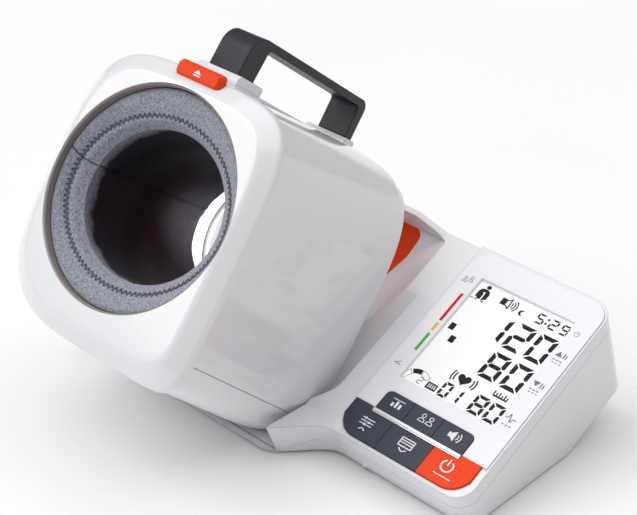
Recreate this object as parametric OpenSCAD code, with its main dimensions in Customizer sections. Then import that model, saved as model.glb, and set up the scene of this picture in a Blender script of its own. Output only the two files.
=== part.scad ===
// Upper arm blood pressure monitor, tabletop type with a tilting arm cuff drum.
// Millimetres, +Z up, standing on z = 0, user on the -Y side.

/* [View] */
// node to draw, or all of them

/* [Display unit] */
// tilt of the display panel from the table, degrees
panel_tilt = 27.3; // [10:0.1:45]
// lower left corner of the display glass, from the middle of the monitor
panel_x = 77.3; // [60:0.1:90]
// the same corner, from the middle towards the back
panel_y = 15; // [0:0.1:40]
// the same corner, above the table
panel_z = 58; // [40:0.1:80]
// display glass width
glass_w = 84; // [60:0.5:100]
// display glass height
glass_h = 103.5; // [70:0.5:120]
// right edge of the display unit, from the glass corner
unit_right = 102; // [90:0.5:120]
// front edge of the display unit, from the glass corner
unit_front = -62; // [-80:0.5:-50]
// rear edge of the display unit, from the glass corner
unit_rear = 129.5; // [110:0.5:150]
// depth of the unit square to the panel
unit_depth = 89.3; // [60:0.5:110]
// depth of the parting line between the upper and lower shell
parting = 13.8; // [8:0.1:30]

/* [Base] */
// left edge of the base, from the glass corner
base_left = -256.6; // [-300:0.5:-200]
// front edge of the drum bay, from the glass corner
bay_front = -97; // [-120:0.5:-80]
// height of the ears beside the drum
ear_z = 30; // [20:0.5:45]
// height of the shell underside above the table, filled by the feet
foot_z = 1.2; // [0.8:0.1:4]
// wall of the shells
wall = 2.5; // [1.5:0.1:4]
// radius across the elbow rest
rest_r = 168; // [120:1:240]
// depth of the elbow rest under the panel plane
rest_depth = 34; // [20:1:45]

/* [Cuff drum] */
// tilt of the arm tunnel from level, degrees
drum_tilt = 33.8; // [20:0.1:45]
// centre of the cuff ring, left of the middle of the monitor
drum_x = -67.1; // [-90:0.1:-50]
// centre of the cuff ring, in front of the middle
drum_y = -110.7; // [-130:0.1:-80]
// centre of the cuff ring above the table
drum_z = 187.9; // [150:0.1:220]
// length of the drum behind the cuff ring
drum_len = 177; // [140:1:220]
// outer radius of the visible cuff ring
ring_r = 80; // [60:0.5:90]
// half the height of the arm opening
arm_r = 54; // [45:0.5:65]
// rounding of the drum where it sits in the bay
heel_r = 47; // [30:0.5:60]
// how far the drum folds back over the elbow rest, degrees
fold = 16; // [5:0.5:20]

/* [Handle] */
// width of the handle strap
handle_w = 27.4; // [18:0.1:40]
// top of the handle above the tunnel axis
handle_top = 137; // [120:0.5:150]
// front face of the handle
handle_front = 19; // [10:0.5:40]
// rear face of the handle
handle_rear = 179; // [150:0.5:185]

/* [Keys] */
// travel of the six keys
key_travel = 0.7; // [0.3:0.1:1.5]
// gap around each key
key_gap = 0.35; // [0.2:0.05:0.6]
// how far the keys stand above the panel
key_proud = 1.8; // [0.5:0.1:3]

/* [Hidden] */

$fn = 64;
big = 500;
white = [0.93, 0.93, 0.94];
slate = [0.24, 0.25, 0.29];
orange = [0.95, 0.28, 0.11];
charcoal = [0.22, 0.23, 0.25];
steel = [0.72, 0.72, 0.74];
cloth = [0.49, 0.50, 0.54];
dark_cloth = [0.15, 0.15, 0.18];
board = [0.12, 0.36, 0.22];

// centre line of the bay and of the drum, in panel coordinates
bay_u = drum_x - panel_x;
// half widths of the bay between the ears and behind them
ear_half = 95.5;
bay_half = 107;
// rim beside the elbow rest, under the panel plane
rim_drop = 4;
// raised rim behind the elbow rest
rear_rim = 8;

// drum outline, front and rear: [half width, lowest, highest, then how square the top,
// the lower left and the lower right corners are]
front_size = [92.5, -109, 94, 4.2, 3.1, 9];
rear_size = [98, -130, 101, 3.8, 3.1, 4];
collar_a = 9;
// latch pin, in drum coordinates
latch_a = 150;
latch_b = 80;
// hinge axis
hinge_y = -36.2;
hinge_z = 17;
pin_r = 4;
hub_r = 11;

// keys: [left, right, front, rear] on the panel
lower_front = -58.5;
lower_rear = -30.8;
upper_front = -31;
upper_rear = -13;
split_1 = 21.5;
split_2 = 58.5;
split_3 = 25.5;
split_4 = 51.5;
ledge_front = -34.6;
mat_w = -7.4;
board_w = -9.6;

// places of the parts inside the display unit
cell_r = 7;
cell_len = 50;
motor_r = 12;

function pw(t, p) = t <= 0 ? 0 : pow(t, p);

// rounded drum outline, squarer at the top than at the bottom
function drum_point(s, t, inset) =
    let (c = cos(t), d = sin(t), e = 2 / (d > 0 ? s[3] : c < 0 ? s[4] : s[5]),
         mid = (s[1] + s[2]) / 2, half = (s[2] - s[1]) / 2)
    [sign(c) * (s[0] - inset) * pw(abs(c), e), mid + sign(d) * (half - inset) * pw(abs(d), e)];

function size_at(a) = front_size + (rear_size - front_size) * a / drum_len;

function arc(c, r, t0, t1, n) = [for (i = [0:n]) c + r * [cos(t0 + (t1 - t0) * i / n), sin(t0 + (t1 - t0) * i / n)]];

module on_panel() {
    translate([panel_x, panel_y, panel_z])
        rotate([panel_tilt, 0, 0])
            children();
}

module on_drum() {
    translate([drum_x, drum_y, drum_z])
        rotate([-drum_tilt, 0, 0])
            children();
}

// flat drawing (x, b) of the drum stood up at distance a behind the cuff ring
module drum_slab(a, t) {
    translate([0, a + t, 0])
        rotate([90, 0, 0])
            linear_extrude(t)
                children();
}

// flat drawing (a, b) of the drum, extruded across the drum
module drum_side(half) {
    translate([-half, 0, 0])
        rotate([90, 0, 90])
            linear_extrude(2 * half)
                children();
}

// outline of the arm tunnel, wider than it is high, r half its height
module tunnel_oval(r) {
    translate([0, -1.5])
        scale([(r + 6.5) / r, 1])
            circle(r, $fn = 96);
}

module tunnel_tube(r_out, r_in, a, t) {
    drum_slab(a, t)
        difference() {
            tunnel_oval(r_out);
            tunnel_oval(r_in);
        }
}

module drum_ring(r_out, r_in, a, t) {
    drum_slab(a, t)
        difference() {
            circle(r_out);
            circle(r_in);
        }
}

module drum_outline(s, inset = 0) {
    polygon([for (i = [0:71]) drum_point(s, i * 5 + 2.5, inset)]);
}

// side profile of the drum with the rounded heel and rounded rear top
module drum_profile(g) {
    slope = atan((front_size[1] - rear_size[1]) / drum_len);
    heel_a = drum_len - heel_r;
    heel_b = heel_r / cos(slope) + front_size[1] - tan(slope) * heel_a;
    crown_r = 26;
    crown_a = drum_len - crown_r;
    crown_b = rear_size[2] - crown_r;
    polygon(concat(
        [[-40, rear_size[2] + 20 - g], [crown_a, rear_size[2] + 20 - g]],
        [[crown_a, rear_size[2] - g]],
        arc([crown_a, crown_b], crown_r - g, 90, 0, 10),
        arc([heel_a, heel_b], heel_r - g, 0, -90 - slope, 14),
        [[-40, front_size[1] + 40 * tan(slope) + g]]));
}

module drum_solid(g) {
    intersection() {
        hull() {
            drum_slab(0, 0.01)
                drum_outline(size_at(0), g);
            drum_slab(drum_len - g, 0.01)
                drum_outline(size_at(drum_len - g), g);
        }
        drum_side(120)
            drum_profile(g);
    }
}

// parts of the drum above and below the seam of the cradle
module above_seam(gap) {
    drum_side(130)
        polygon([[-20, -80 + gap], [200, -103 + gap], [200, 160], [-20, 160]]);
}

// top view of the base square to the panel
module base_outline(g) {
    steps = 12;
    offset(r = 16)
        offset(delta = -16 - g)
            polygon(concat(
                [[base_left, unit_rear], [base_left, bay_front]],
                [for (i = [0:steps]) [-60 + 46 * i / steps,
                    bay_front + (unit_front - bay_front) * (1 - cos(180 * i / steps)) / 2]],
                [[unit_right, unit_front], [unit_right, unit_rear]]));
}

module panel_slab(u0, u1, v0, v1, w0, w1) {
    translate([u0, v0, w0])
        cube([u1 - u0, v1 - v0, w1 - w0]);
}

module rear_hump(g) {
    translate([bay_u, unit_rear + 5, 0])
        rotate([90, 0, 0])
            linear_extrude(50)
                polygon([[-100, -20], [100, -20], [92, -rim_drop - g], [66, rear_rim - g],
                    [-66, rear_rim - g], [-92, -rim_drop - g]]);
}

// whole outside of the base, g under its surface
module base_solid(g) {
    intersection() {
        on_panel()
            translate([0, 0, -130])
                linear_extrude(160)
                    base_outline(g);
        union() {
            on_panel() {
                panel_slab(-big, big, -big, big, -unit_depth + g, -rim_drop - g);
                panel_slab(-18.5 + g, big, -big, big, -unit_depth + g, -g);
                rear_hump(g);
            }
            translate([-big, -big, foot_z + g])
                cube([2 * big, big, ear_z - foot_z - 2 * g]);
        }
        translate([-big, -big, foot_z + g])
            cube(2 * big);
    }
}

// room that the drum sweeps, its side profile turned about the hinge, as (y, z)
module sweep_profile(g) {
    offset(delta = 1 + g)
        for (t = [0, 0.25, 0.5, 0.75, 1])
            translate([hinge_y, hinge_z])
                rotate(-fold * t)
                    translate([drum_y - hinge_y, drum_z - hinge_z])
                        rotate(-drum_tilt)
                            drum_profile(0);
}

module bay_sweep(g) {
    translate([drum_x - bay_half - g, 0, 0])
        rotate([90, 0, 90])
            linear_extrude(2 * (bay_half + g))
                sweep_profile(g);
}

module bay_plan(g) {
    offset(r = 24)
        offset(delta = g - 24)
            polygon([[bay_u - ear_half, -180], [bay_u + ear_half, -180], [bay_u + ear_half, -48],
                [bay_u + bay_half, -30], [bay_u + bay_half, 124.5], [bay_u - bay_half, 124.5],
                [bay_u - bay_half, -30], [bay_u - ear_half, -48]]);
}

// hollow of the elbow rest
module rest_bowl(g) {
    on_panel()
        intersection() {
            translate([bay_u, -60, rest_r - rest_depth])
                rotate([-90, 0, 0])
                    cylinder(r = rest_r + g, h = 185, $fn = 160);
            translate([bay_u - 105 - g, 38, 160 - rest_depth])
                rotate([0, 90, 0])
                    cylinder(r = 160 + g, h = 210 + 2 * g, $fn = 160);
        }
}

module bay(g) {
    intersection() {
        union() {
            bay_sweep(g);
            rest_bowl(g);
        }
        on_panel()
            translate([0, 0, -130])
                linear_extrude(300)
                    bay_plan(g);
        translate([-big, -big, foot_z + wall])
            cube(2 * big);
    }
    translate([drum_x - ear_half - g, -135, foot_z + wall])
        cube([2 * ear_half + 2 * g, 95, 60]);
}

module below_parting(gap) {
    on_panel()
        panel_slab(-big, big, -big, big, -big, -parting - gap);
}

module above_parting() {
    on_panel()
        panel_slab(-big, big, -big, big, -parting, big);
}

// outline of the lower key row with its rounded front corners and the notch for the upper row
module lower_row() {
    difference() {
        union() {
            offset(r = 17)
                offset(delta = -17)
                    translate([-16, lower_front])
                        square([112.5, 40]);
            translate([-16, lower_front + 12])
                square([112.5, lower_rear - lower_front - 12]);
        }
        translate([-40, lower_rear])
            square([180, 40]);
        translate([0.6, ledge_front - 0.4])
            square([78.8, 20]);
    }
}

module upper_row() {
    difference() {
        offset(r = 5)
            offset(delta = -5)
                translate([1, upper_front - 8])
                    square([78, upper_rear - upper_front + 8]);
        translate([-10, upper_front - 20])
            square([100, 20]);
    }
}

// one key: cap, flange and stem
module panel_key(u, v) {
    on_panel() {
        translate([0, 0, -3])
            linear_extrude(3 + key_proud)
                offset(delta = -key_gap / 2)
                    children();
        translate([u, v, mat_w + key_travel + 0.1])
            cylinder(d = 6, h = -3 - mat_w - key_travel);
    }
}

module column(u0, u1) {
    intersection() {
        children();
        translate([u0, -100])
            square([u1 - u0, 200]);
    }
}

module base_lower_shell() {
    color(white)
        difference() {
            intersection() {
                base_solid(0);
                below_parting(0.05);
            }
            base_solid(wall);
            bay(wall + 0.1);
            battery_door_cut(0.3);
            inlet_cut(0);
            feet(0.05);
            screw_holes();
        }
    color(white)
        battery_box();
    color(white)
        difference() {
            for (p = screw_places)
                translate([p[0], p[1], foot_z + wall])
                    cylinder(d = 8, h = 5);
            screw_holes();
        }
}

module screw_holes() {
    for (p = screw_places)
        translate([p[0], p[1], -1])
            cylinder(d = 3.4, h = 11);
}

// open box for the cells with the seat of the battery door
module battery_box() {
    on_panel()
        difference() {
            union() {
                panel_slab(9, 81, 55, unit_rear - wall, -unit_depth, -unit_depth + 4.6);
                panel_slab(15, 75, 58.5, 121.5, -unit_depth, -unit_depth + 21.5);
            }
            panel_slab(16.8, 73.2, 60.3, 119.7, -unit_depth - 1, -unit_depth + 19.7);
            panel_slab(11.7, 78.3, 57.7, unit_rear + 10, -unit_depth - 5, -unit_depth + 2.3);
        }
}

screw_places = [[86, -25], [168, -25], [86, 85], [140, 85], [-172, 55]];
foot_places = [[-165, -53], [30, -43], [-165, 87], [160, -13], [160, 87]];

module feet(g) {
    for (p = foot_places)
        translate([p[0], p[1], 0])
            cylinder(r = 7 + g, h = foot_z + 0.8 + g);
}

module base_upper_shell() {
    color(white)
        difference() {
            union() {
                difference() {
                    intersection() {
                        base_solid(0);
                        above_parting();
                    }
                    base_solid(wall);
                }
                intersection() {
                    base_solid(0);
                    bay(wall);
                    translate([-big, -big, foot_z + wall + 0.1])
                        cube(2 * big);
                }
            }
            bay(0);
            on_panel() {
                translate([0, 0, -20])
                    linear_extrude(60) {
                        offset(delta = key_gap / 2)
                            lower_row();
                        translate([0.4, ledge_front - 0.3])
                            square([79.2, 25]);
                    }
                panel_slab(-2, glass_w + 2, -2, glass_h + 2, -20, 40);
                translate([0, 0, -1.3])
                    linear_extrude(40)
                        plate_outline(0.15);
            }
            inlet_cut(0);
            mark_solid(0.05);
            for (s = [-1, 1])
                translate([drum_x + s * (ear_half + 6), hinge_y, hinge_z])
                    rotate([0, 90, 0])
                        cylinder(r = pin_r + 0.05, h = 24, center = true);
            keeper_slot(8.5, 1.5);
        }
}

module plate_outline(g) {
    difference() {
        offset(r = 14 + g)
            offset(delta = -14)
                translate([-16.5, lower_rear + 0.2])
                    square([116.5, 126.5 - lower_rear - 0.2]);
        translate([-40, -60])
            square([180, 60 + lower_rear - g + 0.2]);
    }
    translate([-16.5 - g, lower_rear + 0.2 - g])
        square([116.5 + 2 * g, 30]);
}

module face_plate() {
    color(white)
        on_panel()
            difference() {
                translate([0, 0, -1.3])
                    linear_extrude(2.3)
                        plate_outline(0);
                panel_slab(0, glass_w, 0, glass_h, -5, 5);
                translate([0, 0, -5])
                    linear_extrude(10)
                        offset(delta = key_gap / 2)
                            upper_row();
                panel_slab(0.5, 79.5, -40, upper_front + 0.4, -5, 5);
            }
}

module key_ledge() {
    color(steel)
        on_panel()
            difference() {
                panel_slab(1, 79, ledge_front, upper_front - 0.4, -3, 2.8);
                translate([0, ledge_front, 2.8])
                    rotate([0, 90, 0])
                        cylinder(r = 1, h = 200, center = true);
            }
}

module lcd_window() {
    color([0.85, 0.88, 0.88])
        on_panel()
            panel_slab(0.1, glass_w - 0.1, 0.1, glass_h - 0.1, -1.2, 0.1);
}

module lcd_module() {
    color([0.75, 0.78, 0.76])
        on_panel()
            panel_slab(-1.8, glass_w + 1.8, -1.8, glass_h + 1.8, -5.2, -1.35);
}

module main_board() {
    color(board)
        on_panel() {
            panel_slab(-12, 94, -54, 116, board_w - 1.6, board_w);
            panel_slab(10, 74, 20, 80, board_w, -5.3);
        }
}

module key_mat() {
    color([0.6, 0.6, 0.62])
        on_panel()
            panel_slab(-12, 93, -54.5, -6, board_w + 0.05, mat_w);
}

module pressure_sensor() {
    color([0.9, 0.88, 0.8])
        on_panel()
            translate([20, 95, board_w - 1.7]) {
                translate([-6, -6, -7])
                    cube([12, 12, 7]);
                translate([0, 0, -12])
                    cylinder(d = 3.6, h = 5);
            }
}

module speaker() {
    color(charcoal)
        on_panel()
            translate([82, 96, board_w - 1.75]) {
                translate([0, 0, -3])
                    cylinder(r = 14, h = 3);
                translate([0, 0, -8])
                    cylinder(r = 9, h = 5);
            }
}

module pump_motor() {
    color(steel)
        on_panel()
            translate([30, -6, -34])
                rotate([0, 90, 0])
                    difference() {
                        cylinder(r = motor_r, h = 36);
                        translate([0, 0, 33])
                            difference() {
                                cylinder(r = motor_r + 1, h = 5);
                                cylinder(r = 5, h = 5);
                            }
                    }
}

module pump_head() {
    color(charcoal)
        on_panel() {
            translate([6, -20, -48])
                cube([23.9, 28, 28]);
            translate([-4, -6, -34])
                rotate([0, 90, 0])
                    cylinder(d = 5, h = 10);
        }
}

module bleed_valve() {
    color(steel)
        on_panel() {
            translate([12, 40, -36])
                rotate([0, 90, 0])
                    cylinder(r = 8, h = 26);
            translate([4, 40, -36])
                rotate([0, 90, 0])
                    cylinder(d = 4, h = 8);
        }
}

// flexible tube from the pump and valve to the hinge
module air_hose() {
    color(charcoal)
        on_panel()
            difference() {
                union() {
                    translate([-9, -6, -34])
                        rotate([0, 90, 0])
                            cylinder(d = 8, h = 9);
                    translate([-9, -38, -34])
                        rotate([-90, 0, 0])
                            cylinder(d = 8, h = 82);
                    translate([-9, 40, -36])
                        rotate([0, 90, 0])
                            cylinder(d = 7, h = 16);
                }
                translate([-5, -6, -34])
                    rotate([0, 90, 0])
                        cylinder(d = 5.2, h = 20);
                translate([2, 40, -36])
                    rotate([0, 90, 0])
                        cylinder(d = 4.2, h = 20);
            }
}

module battery_cells() {
    color([0.3, 0.32, 0.34])
        on_panel()
            for (i = [0:3])
                translate([20, 68 + i * 14.6, -unit_depth + 11]) {
                    rotate([0, 90, 0])
                        cylinder(r = cell_r, h = cell_len - 1);
                    translate([cell_len - 1, 0, 0])
                        rotate([0, 90, 0])
                            cylinder(r = 2.6, h = 1);
                }
}

module battery_springs() {
    color(steel)
        on_panel()
            for (i = [0:3], s = [0, 1])
                translate([s == 0 ? 18.4 : 20 + cell_len + 0.2, 68 + i * 14.6, -unit_depth + 11])
                    rotate([0, 90, 0])
                        cylinder(r = 5.5, h = 1.4);
}

module battery_door_cut(g) {
    on_panel() {
        panel_slab(12 - g, 78 + g, 58 - g, unit_rear + 10, -unit_depth - 5, -unit_depth + 2 + g);
        panel_slab(16.8, 73.2, 60.3, 119.7, -unit_depth - 5, -unit_depth + 10);
    }
}

module battery_door() {
    color(white)
        on_panel() {
            difference() {
                panel_slab(12, 78, 58, unit_rear, -unit_depth, -unit_depth + 2);
                for (i = [0:4])
                    panel_slab(34, 56, 66 + 3 * i, 67.4 + 3 * i, -unit_depth - 1, -unit_depth + 0.7);
            }
        }
}

module inlet_cut(g) {
    on_panel()
        translate([77, unit_rear - 20, -34])
            rotate([-90, 0, 0])
                cylinder(r = 5.2 + g, h = 40);
}

module dc_inlet() {
    color(charcoal)
        on_panel()
            translate([77, unit_rear - 14, -34])
                rotate([-90, 0, 0])
                    difference() {
                        union() {
                            cylinder(r = 5.1, h = 13.6);
                            translate([-7, -7, 0])
                                cube([14, 14, 11.2]);
                        }
                        translate([0, 0, 3])
                            difference() {
                                cylinder(d = 5.7, h = 20);
                                cylinder(d = 2, h = 20);
                            }
                    }
}

module rubber_feet() {
    color(charcoal)
        feet(0);
}

module case_screws() {
    color(steel)
        for (p = screw_places)
            translate([p[0], p[1], foot_z + 0.4])
                difference() {
                    union() {
                        cylinder(d = 3.2, h = 7);
                        translate([0, 0, -0.2])
                            cylinder(d = 3.2, h = 1);
                    }
                    translate([0, 0, -0.5])
                        cylinder(d = 1.6, h = 1.6, $fn = 24);
                }
}

// elbow position mark, a thin inlay that follows the elbow rest
module mark_plan() {
    offset(r = 6)
        offset(delta = -6)
            polygon([[bay_u - 71, 124.4], [bay_u + 71, 124.4], [bay_u + 62, 80],
                [bay_u + 22, 34], [bay_u - 22, 34], [bay_u - 62, 80]]);
}

module mark_solid(g) {
    difference() {
        intersection() {
            rest_bowl(1 + g);
            on_panel()
                translate([0, 0, -60])
                    linear_extrude(80)
                        offset(delta = g)
                            mark_plan();
        }
        rest_bowl(0);
        bay_sweep(0);
    }
}

module elbow_mark() {
    color(orange)
        mark_solid(0);
}

module hinge_pins() {
    color(steel)
        for (s = [-1, 1])
            translate([drum_x + s * (ear_half - 2), hinge_y, hinge_z])
                rotate([0, 90, 0])
                    cylinder(r = pin_r, h = 26, center = true);
}

// notch for the hook in the raised rim, where the hook comes down with the drum
module keeper_slot(half, deep) {
    for (t = [0.6, 0.8, 1])
        folded(t)
            drum_side(half)
                polygon([[140, 83], [178 + deep, 83], [178 + deep, 98 + deep], [140, 98 + deep]]);
}

module folded(t) {
    translate([0, hinge_y, hinge_z])
        rotate([-fold * t, 0, 0])
            translate([0, -hinge_y, -hinge_z])
                on_drum()
                    children();
}

// lining of the notch that the hook pulls against
module latch_keeper() {
    color(steel)
        intersection() {
            difference() {
                keeper_slot(8.4, 1.4);
                keeper_slot(6.6, 0);
            }
            base_solid(0.4);
        }
}

module set_key() {
    color(slate)
        panel_key(3, -46)
            column(-30, split_1)
                lower_row();
}

module memory_key() {
    color(slate)
        panel_key(40, -46)
            column(split_1, split_2)
                lower_row();
}

module power_key() {
    color(orange)
        panel_key(77, -46)
            column(split_2, 120)
                lower_row();
}

module average_key() {
    color(slate)
        panel_key(13, -22)
            column(-10, split_3)
                upper_row();
}

module user_key() {
    color(slate)
        panel_key(38.5, -22)
            column(split_3, split_4)
                upper_row();
}

module voice_key() {
    color(slate)
        panel_key(65, -22)
            column(split_4, 100)
                upper_row();
}

// front frame with a sloped edge and the recess for the cuff ring
module drum_frame() {
    color(white)
        on_drum()
            difference() {
                union() {
                    hull() {
                        drum_slab(-7, 0.01)
                            drum_outline(size_at(0), 11);
                        drum_slab(3, 0.01)
                            drum_outline(size_at(3), -1.2);
                    }
                    hull() {
                        drum_slab(3, 0.01)
                            drum_outline(size_at(3), -1.2);
                        drum_slab(collar_a, 0.01)
                            drum_outline(size_at(collar_a), -1.2);
                    }
                }
                drum_slab(-10, 17)
                    circle(ring_r + 1.6, $fn = 128);
                drum_slab(-10, 40)
                    tunnel_oval(64.2);
                button_pocket(0.4);
            }
}

module drum_shell() {
    color(white)
        on_drum()
            difference() {
                intersection() {
                    difference() {
                        drum_solid(0);
                        drum_solid(wall);
                    }
                    above_seam(0.1);
                    drum_side(130)
                        translate([collar_a + 0.05, -200])
                            square(400);
                }
                drum_slab(drum_len - 12, 30)
                    circle(66, $fn = 96);
                hook_window();
                handle_screw_holes();
                hinge_gaps();
            }
    color(white)
        on_drum()
            latch_lugs();
}

module drum_cradle() {
    color(white)
        on_drum()
            difference() {
                union() {
                    difference() {
                        drum_solid(0);
                        drum_solid(wall);
                        above_seam(0);
                    }
                    intersection() {
                        drum_solid(0);
                        hinge_hubs();
                    }
                    hinge_bosses();
                }
                translate([-200, -60, -200])
                    cube([400, 60 + collar_a + 0.05, 400]);
                hinge_bores();
            }
}

function hinge_ab() = let (dy = hinge_y - drum_y, dz = hinge_z - drum_z)
    [dy * cos(drum_tilt) - dz * sin(drum_tilt), dy * sin(drum_tilt) + dz * cos(drum_tilt)];

module hinge_hubs() {
    h = hinge_ab();
    for (s = [-1, 1])
        translate([s * 76, h[0], h[1]])
            rotate([0, 90, 0])
                cylinder(r = hub_r, h = 20, center = true);
}

module hinge_bosses() {
    h = hinge_ab();
    for (s = [-1, 1])
        translate([s * 87, h[0], h[1]])
            rotate([0, 90, 0])
                cylinder(r = 9, h = 15, center = true);
}

// room in the shell for the hinge hubs of the cradle
module hinge_gaps() {
    h = hinge_ab();
    for (s = [-1, 1])
        translate([s * 85, h[0], h[1]])
            rotate([0, 90, 0])
                cylinder(r = hub_r + 0.3, h = 40, center = true);
}

module hinge_bores() {
    h = hinge_ab();
    for (s = [-1, 1])
        translate([s * 87, h[0], h[1]])
            rotate([0, 90, 0])
                cylinder(r = pin_r + 0.05, h = 44, center = true);
}

module rear_cover() {
    color(white)
        on_drum()
            difference() {
                drum_slab(drum_len - wall - 2.15, 2)
                    circle(72, $fn = 96);
                drum_slab(drum_len - 40, 80)
                    tunnel_oval(arm_r + 4.5);
            }
}

module pad_retainer() {
    color([0.56, 0.52, 0.51])
        on_drum()
            drum_ring(ring_r + 1.5, ring_r + 0.4, -5.5, 12.3);
}

module cuff_barrel() {
    color([0.8, 0.8, 0.8])
        on_drum()
            difference() {
                tunnel_tube(63.9, 61.5, 9.5, drum_len - 15.5);
                translate([30, 60, -70])
                    cylinder(d = 7, h = 30);
            }
}

module cuff_bladder() {
    color([0.35, 0.35, 0.4])
        on_drum()
            tunnel_tube(61.3, 57.5, 12, 134);
}

module cuff_liner() {
    color(dark_cloth)
        on_drum()
            tunnel_tube(57.3, arm_r, 8.2, 144.8);
}

module cuff_ring_pad() {
    color(cloth)
        on_drum()
            difference() {
                union() {
                    hull() {
                        drum_slab(0, 0.01)
                            circle(ring_r - 3, $fn = 96);
                        drum_slab(3, 3.9)
                            circle(ring_r, $fn = 96);
                    }
                    drum_slab(3, 5)
                        tunnel_oval(61.3);
                }
                hull() {
                    drum_slab(-0.1, 0.1)
                        tunnel_oval(arm_r + 7);
                    drum_slab(8, 0.1)
                        tunnel_oval(arm_r);
                }
            }
}

// platform on top of the drum that carries the handle
module handle_base() {
    color(white)
        on_drum()
            difference() {
                union() {
                    handle_tread(21.5, 12, 175, 98.3);
                    handle_tread(20, 13, 42, 105);
                    handle_tread(20, 162, 175, 104.4);
                }
                drum_solid(-0.05);
                hook_window();
                handle_screw_holes();
            }
}

module handle_tread(half, a0, a1, top) {
    drum_side(half)
        polygon([[a0, 80], [a1, 80], [a1 + 1, top - 1.5], [a1 - 1.5, top], [a0 + 3, top], [a0, top - 3]]);
}

module carry_handle() {
    color(charcoal)
        on_drum()
            difference() {
                translate([-handle_w / 2, 0, 0])
                    rotate([90, 0, 90])
                        linear_extrude(handle_w)
                            difference() {
                                polygon(concat(
                                    [[handle_front - 1, 105.05]],
                                    arc([handle_front + 15, handle_top - 15], 15, 180, 90, 8),
                                    arc([handle_rear - 8, handle_top - 8], 8, 90, 0, 8),
                                    [[handle_rear, 104.45], [handle_rear - 8, 104.45], [handle_rear - 8, 105.05]]));
                                polygon(concat(
                                    [[handle_front + 17, 90]],
                                    arc([handle_front + 23, handle_top - 9], 3, 180, 90, 4),
                                    arc([handle_rear - 12, handle_top - 9], 3, 90, 0, 4),
                                    [[handle_rear - 8.5, 90]]));
                            }
                handle_screw_holes();
            }
}

module handle_screw_holes() {
    for (x = [-8, 8])
        translate([x, handle_front + 8, 84])
            cylinder(d = 3.2, h = 30);
}

module handle_screws() {
    color(steel)
        on_drum()
            for (x = [-8, 8])
                translate([x, handle_front + 8, 0]) {
                    translate([0, 0, 90.3])
                        cylinder(d = 5.6, h = 2);
                    translate([0, 0, 92])
                        cylinder(d = 3, h = 21);
                }
}

function round_rect(x0, y0, x1, y1, r) = concat(
    arc([x1 - r, y1 - r], r, 0, 90, 6), arc([x0 + r, y1 - r], r, 90, 180, 6),
    arc([x0 + r, y0 + r], r, 180, 270, 6), arc([x1 - r, y0 + r], r, 270, 360, 6));

module button_plan(g) {
    polygon(round_rect(-21 - g, 87.6 - g, 21 + g, 99.8 + g, 4 + g));
}

// pocket for the release button, its rod and its springs
module button_pocket(g) {
    drum_slab(-12, 16.7)
        button_plan(g);
    drum_slab(-2, 14)
        translate([-3.5, 87.1])
            square([7, 3.6]);
    for (x = [-13, 13])
        translate([x, 4, 94])
            rotate([-90, 0, 0])
                cylinder(d = 6, h = 3.6);
}

// release button for folding the drum
module open_button() {
    color(orange)
        on_drum() {
            hull() {
                drum_slab(-5, 0.01)
                    button_plan(-2.2);
                drum_slab(-2, 0.01)
                    button_plan(0);
            }
            drum_slab(-2, 4)
                button_plan(0);
        }
}

// return springs behind the release button
module button_springs() {
    color(steel)
        on_drum()
            for (x = [-13, 13])
                translate([x, 4.7, 94])
                    rotate([-90, 0, 0])
                        difference() {
                            cylinder(d = 5.6, h = 2.8);
                            cylinder(d = 4.4, h = 8, center = true);
                        }
}

// rod that carries the push of the release button to the latch
module push_rod() {
    color(steel)
        on_drum()
            drum_side(3)
                translate([2.05, 87.6])
                    square([143.75, 2.6]);
}

// bell crank with the hook at the rear of the drum
module latch_hook() {
    color(steel)
        on_drum()
            drum_side(4.5)
                difference() {
                    union() {
                        translate([latch_a, latch_b])
                            circle(5);
                        polygon([[146.2, 80], [150.5, 80], [150.5, 91], [146.2, 91]]);
                        polygon([[152, 76], [168, 83], [176, 92.5], [172.5, 96], [166, 91], [152, 85]]);
                    }
                    translate([latch_a, latch_b])
                        circle(d = 3.1);
                }
}

module latch_pin() {
    color(steel)
        on_drum()
            translate([0, latch_a, latch_b])
                rotate([0, 90, 0])
                    cylinder(d = 3, h = 17, center = true);
}

// lugs inside the shell that hold the latch pin
module latch_lugs() {
    for (x = [-8.4, 5.4])
        difference() {
            translate([x, latch_a - 5, latch_b - 5])
                cube([3, 10, 23.5]);
            translate([x - 1, latch_a, latch_b])
                rotate([0, 90, 0])
                    cylinder(d = 3.02, h = 5);
        }
}

module hook_window() {
    drum_side(6)
        polygon([[156, 79], [185, 79], [185, 99.5], [164, 99.5], [156, 90]]);
}

// air tube from the cradle to the bladder
module drum_hose() {
    color(charcoal)
        on_drum()
            difference() {
                translate([0, 118, -90])
                    cylinder(d = 7, h = 24.2);
                translate([0, 118, -92])
                    cylinder(d = 4, h = 40);
            }
}

base_lower_shell();
base_upper_shell();
battery_door();
battery_cells();
battery_springs();
dc_inlet();
rubber_feet();
case_screws();
elbow_mark();
face_plate();
key_ledge();
lcd_window();
lcd_module();
main_board();
key_mat();
pressure_sensor();
speaker();
pump_motor();
pump_head();
bleed_valve();
air_hose();
hinge_pins();
latch_keeper();
set_key();
memory_key();
power_key();
average_key();
user_key();
voice_key();
drum_frame();
drum_shell();
drum_cradle();
rear_cover();
pad_retainer();
cuff_barrel();
cuff_bladder();
cuff_liner();
cuff_ring_pad();
handle_base();
carry_handle();
handle_screws();
open_button();
push_rod();
button_springs();
latch_hook();
latch_pin();
drum_hose();
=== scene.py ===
"""Looks of the tabletop upper arm blood pressure monitor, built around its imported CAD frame."""
import math

import bmesh
import bpy
import numpy as np
from mathutils import Matrix, Vector, noise


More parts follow.
